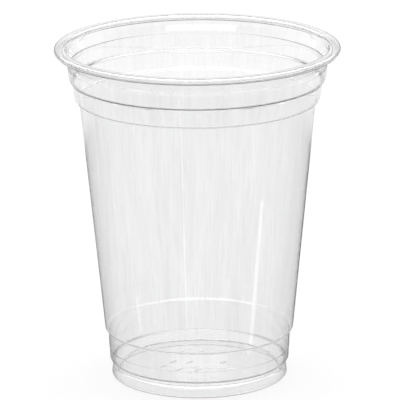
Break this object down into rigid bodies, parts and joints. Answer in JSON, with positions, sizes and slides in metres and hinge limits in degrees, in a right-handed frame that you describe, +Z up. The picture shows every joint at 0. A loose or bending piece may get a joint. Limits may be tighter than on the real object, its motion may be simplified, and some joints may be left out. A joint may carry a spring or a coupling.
{
  "type": "clear plastic disposable cup",
  "caption": "Tapered clear plastic drinking cup with a rolled rim, ledged stacking bands below it and a hollow foot around a raised floor.",
  "frame": {"origin": "On the cup's axis, at the table that the foot stands on.", "axes": "+Z up along the cup's axis through the open mouth. The cup is a body of revolution, so X and Y are interchangeable. The picture looks along +Y and down."},
  "size_m": [0.098, 0.098, 0.117],
  "materials": {
    "clear_plastic": "clear glossy sheet plastic"
  },
  "bodies": {
    "root": {"cup": "clear_plastic"}
  },
  "joints": []
}
